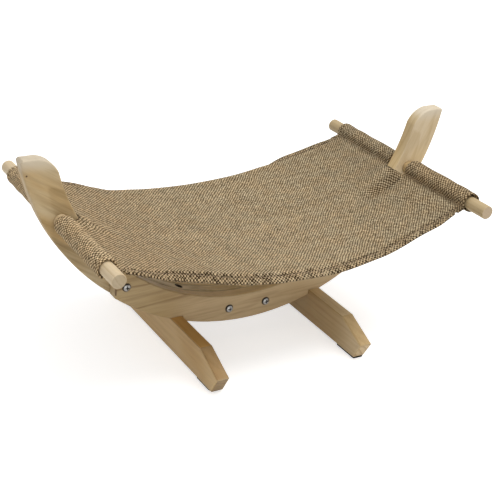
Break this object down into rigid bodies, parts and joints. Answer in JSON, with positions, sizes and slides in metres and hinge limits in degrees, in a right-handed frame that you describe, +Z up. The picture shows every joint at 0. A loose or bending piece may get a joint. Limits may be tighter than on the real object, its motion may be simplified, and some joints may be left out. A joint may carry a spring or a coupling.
{
  "type": "cat hammock",
  "caption": "Cat hammock: a coarse woven cloth slung on two wooden dowels between the horns of a laminated pine arc, which stands on bevelled cross feet with anti-slip pads.",
  "frame": {"origin": "on the floor, under the middle of the object", "axes": "+X along the hammock from horn to horn, +Y from the front plate to the rear plate, +Z up"},
  "size_m": [0.6116, 0.36, 0.282],
  "materials": {
    "horn_pine": "sanded, unfinished pine",
    "plate_pine": "sanded, unfinished pine",
    "foot_pine": "sanded, unfinished pine",
    "dowel_wood": "smooth turned rod",
    "jute_cloth": "coarse two-tone weave",
    "screw_steel": "bright zinc",
    "pad_rubber": "matt black foam rubber"
  },
  "bodies": {
    "frame": {"left_horn": "horn_pine", "right_horn": "horn_pine", "front_plate": "plate_pine", "rear_plate": "plate_pine", "left_foot": "foot_pine", "right_foot": "foot_pine", "hammock_cloth": "jute_cloth", "left_outer_plate_screw": "screw_steel", "left_inner_plate_screw": "screw_steel", "right_inner_plate_screw": "screw_steel", "right_outer_plate_screw": "screw_steel", "left_foot_screw": "screw_steel", "right_foot_screw": "screw_steel", "left_front_pad": "pad_rubber", "left_rear_pad": "pad_rubber", "right_front_pad": "pad_rubber", "right_rear_pad": "pad_rubber"},
    "left_dowel": {"left_dowel": "dowel_wood"},
    "right_dowel": {"right_dowel": "dowel_wood"}
  },
  "joints": [
    {"name": "left_dowel_slide", "type": "slide", "parent": "frame", "child": "left_dowel", "axis": [0, -1, 0], "range_m": [-0.17, 0.17]},
    {"name": "right_dowel_slide", "type": "slide", "parent": "frame", "child": "right_dowel", "axis": [0, -1, 0], "range_m": [-0.17, 0.17]}
  ]
}
